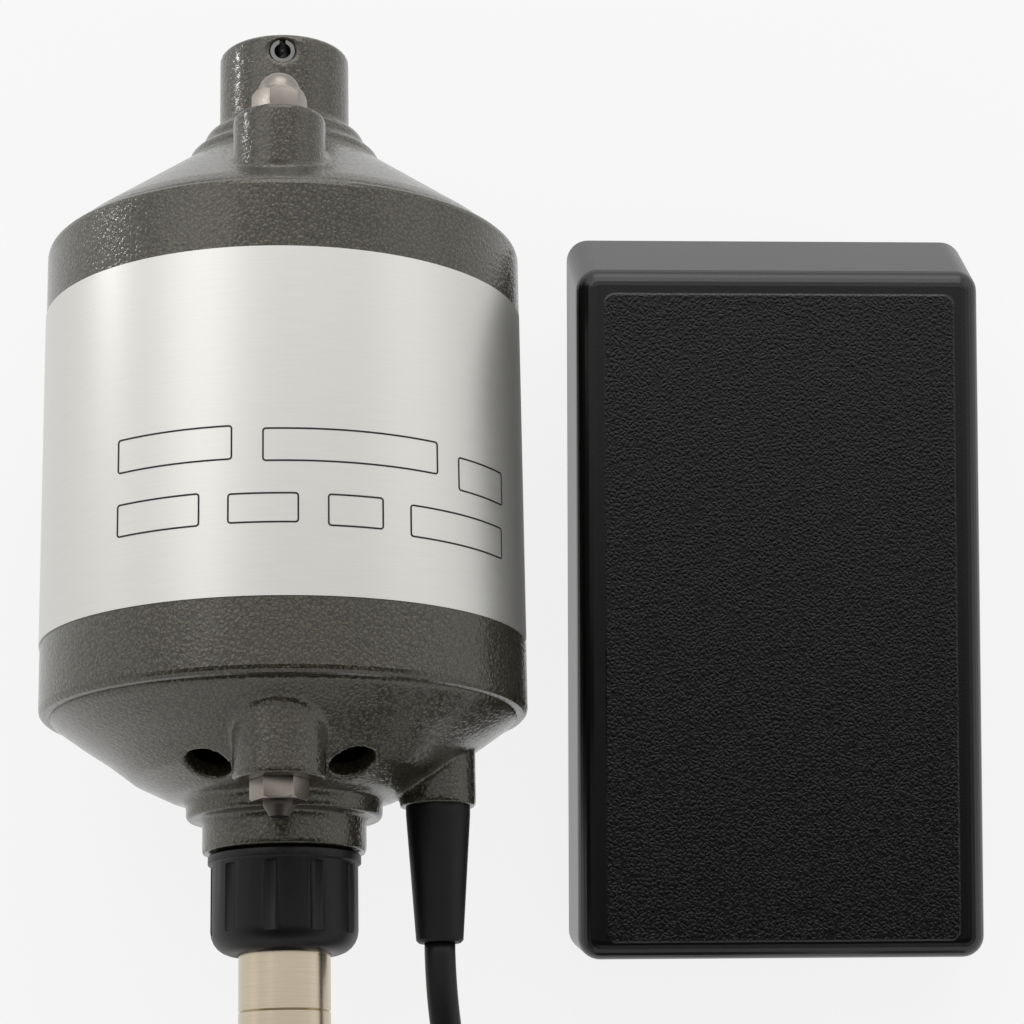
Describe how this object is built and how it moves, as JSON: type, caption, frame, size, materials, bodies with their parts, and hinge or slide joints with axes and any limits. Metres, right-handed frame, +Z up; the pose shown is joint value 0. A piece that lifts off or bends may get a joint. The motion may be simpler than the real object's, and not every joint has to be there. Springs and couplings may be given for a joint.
{
  "type": "flexible shaft rotary tool",
  "caption": "Hang-up rotary tool motor with a sheathed flexible shaft, a collet handpiece, a mains cord and a foot pedal for speed.",
  "frame": {"origin": "centre of the box round the motor, handpiece and pedal, on the bench that they lie on", "axes": "+Y along the motor axis towards its hanging stem, +Z up from the bench"},
  "size_m": [0.1985, 0.4717, 0.0962],
  "materials": {
    "hammertone": "hammertone enamel, glossy, with a fine cell pattern",
    "label_foil": "brushed foil, satin",
    "zinc": "zinc plated, satin",
    "spring_steel": "bare steel, slightly dark",
    "nickel": "nickel plated, fine turned lines",
    "bearing_steel": "polished",
    "lamination": "stacked steel sheet",
    "enamelled_wire": "varnished copper wire",
    "copper": "machined copper",
    "brass": "satin",
    "phenolic": "brown laminate",
    "carbon": "matte",
    "nut_plastic": "black moulded, satin",
    "black_rubber": "matte black",
    "cord_rubber": "satin black",
    "strap": "woven hook and loop strap",
    "grip_black": "black anodised, satin",
    "plug_plastic": "black moulded",
    "blade_brass": "plated brass",
    "fan_plastic": "moulded",
    "pedal_plastic": "black, leather-grained top",
    "foot_rubber": "matte",
    "board_green": "moulded control housing",
    "plunger_nylon": "natural nylon"
  },
  "bodies": {
    "housing": {"upper_bell": "hammertone", "motor_shell": "hammertone", "lower_bell": "hammertone", "nameplate": "label_foil", "hanger_pin": "spring_steel", "tie_studs": "zinc", "cap_nuts": "zinc", "stud_nuts": "zinc", "stator_core": "lamination", "field_coils": "enamelled_wire", "brush_ring": "phenolic", "brush_holders": "brass", "left_brush_spring": "spring_steel", "right_brush_spring": "spring_steel", "upper_bearing": "bearing_steel", "lower_bearing": "bearing_steel", "sheath_ferrule": "nickel", "sheath_boot": "black_rubber", "flex_sheath_run": "black_rubber", "flex_sheath_coil": "black_rubber", "sheath_tie": "strap", "flex_sheath_tail": "black_rubber", "handpiece_socket": "nickel", "handpiece_body": "grip_black", "handpiece_nose": "nickel", "handpiece_rear_bearing": "bearing_steel", "handpiece_front_bearing": "bearing_steel", "cord_boot": "black_rubber", "mains_cord_run": "cord_rubber", "mains_cord_coil": "cord_rubber", "cord_tie": "strap", "mains_cord_tail": "cord_rubber", "plug_body": "plug_plastic", "plug_blades": "blade_brass", "pedal_base": "pedal_plastic", "base_plate": "zinc", "pedal_feet": "foot_rubber", "base_screws": "zinc", "hinge_pin": "spring_steel", "speed_control": "board_green", "return_spring": "spring_steel", "pedal_gland": "black_rubber"},
    "armature": {"armature_shaft": "bearing_steel", "armature_core": "lamination", "armature_windings": "enamelled_wire", "commutator": "copper", "cooling_fan": "fan_plastic", "drive_coupling": "bearing_steel", "core_drive_end": "spring_steel"},
    "collar_nut": {"collar_nut": "nut_plastic"},
    "spindle": {"handpiece_spindle": "bearing_steel", "collet": "bearing_steel"},
    "collet_nut": {"collet_nut": "nickel"},
    "treadle": {"treadle": "pedal_plastic"},
    "plunger": {"control_plunger": "plunger_nylon"},
    "left_brush": {"left_brush": "carbon"},
    "right_brush": {"right_brush": "carbon"}
  },
  "joints": [
    {"name": "armature_spin", "type": "hinge", "parent": "housing", "child": "armature", "pos_m": [-0.048, 0.04, 0.048], "axis": [0, -1, 0], "continuous": true},
    {"name": "handpiece_spin", "type": "hinge", "parent": "housing", "child": "spindle", "pos_m": [-0.084, -0.1, 0.0125], "axis": [0, 1, 0], "continuous": true},
    {"name": "collet_nut_turn", "type": "hinge", "parent": "spindle", "child": "collet_nut", "pos_m": [-0.084, -0.05, 0.0125], "axis": [0, 1, 0], "range_deg": [0, 360]},
    {"name": "collar_nut_turn", "type": "hinge", "parent": "housing", "child": "collar_nut", "pos_m": [-0.048, 0, 0.048], "axis": [0, 1, 0], "range_deg": [0, 360]},
    {"name": "treadle_press", "type": "hinge", "parent": "housing", "child": "treadle", "pos_m": [0.05245, 0.0076, 0.013], "axis": [1, -0.0087, 0], "range_deg": [-7, 0], "stiffness_Nm_per_rad": 6, "springref_deg": 8.59, "deforming": ["return_spring"]},
    {"name": "plunger_push", "type": "slide", "parent": "housing", "child": "plunger", "axis": [0, 0, -1], "range_m": [0, 0.0075]},
    {"name": "left_brush_slide", "type": "slide", "parent": "housing", "child": "left_brush", "axis": [-1, 0, 0], "range_m": [0, 0.003], "stiffness_N_per_m": 80, "springref_m": -0.02, "deforming": ["left_brush_spring"]},
    {"name": "right_brush_slide", "type": "slide", "parent": "housing", "child": "right_brush", "axis": [1, 0, 0], "range_m": [0, 0.003], "stiffness_N_per_m": 80, "springref_m": -0.02, "deforming": ["right_brush_spring"]}
  ],
  "couplings": [
    {"joint": "handpiece_spin", "follows": "armature_spin", "ratio": 1},
    {"joint": "plunger_push", "follows": "treadle_press", "m_per_rad": -0.060647}
  ]
}
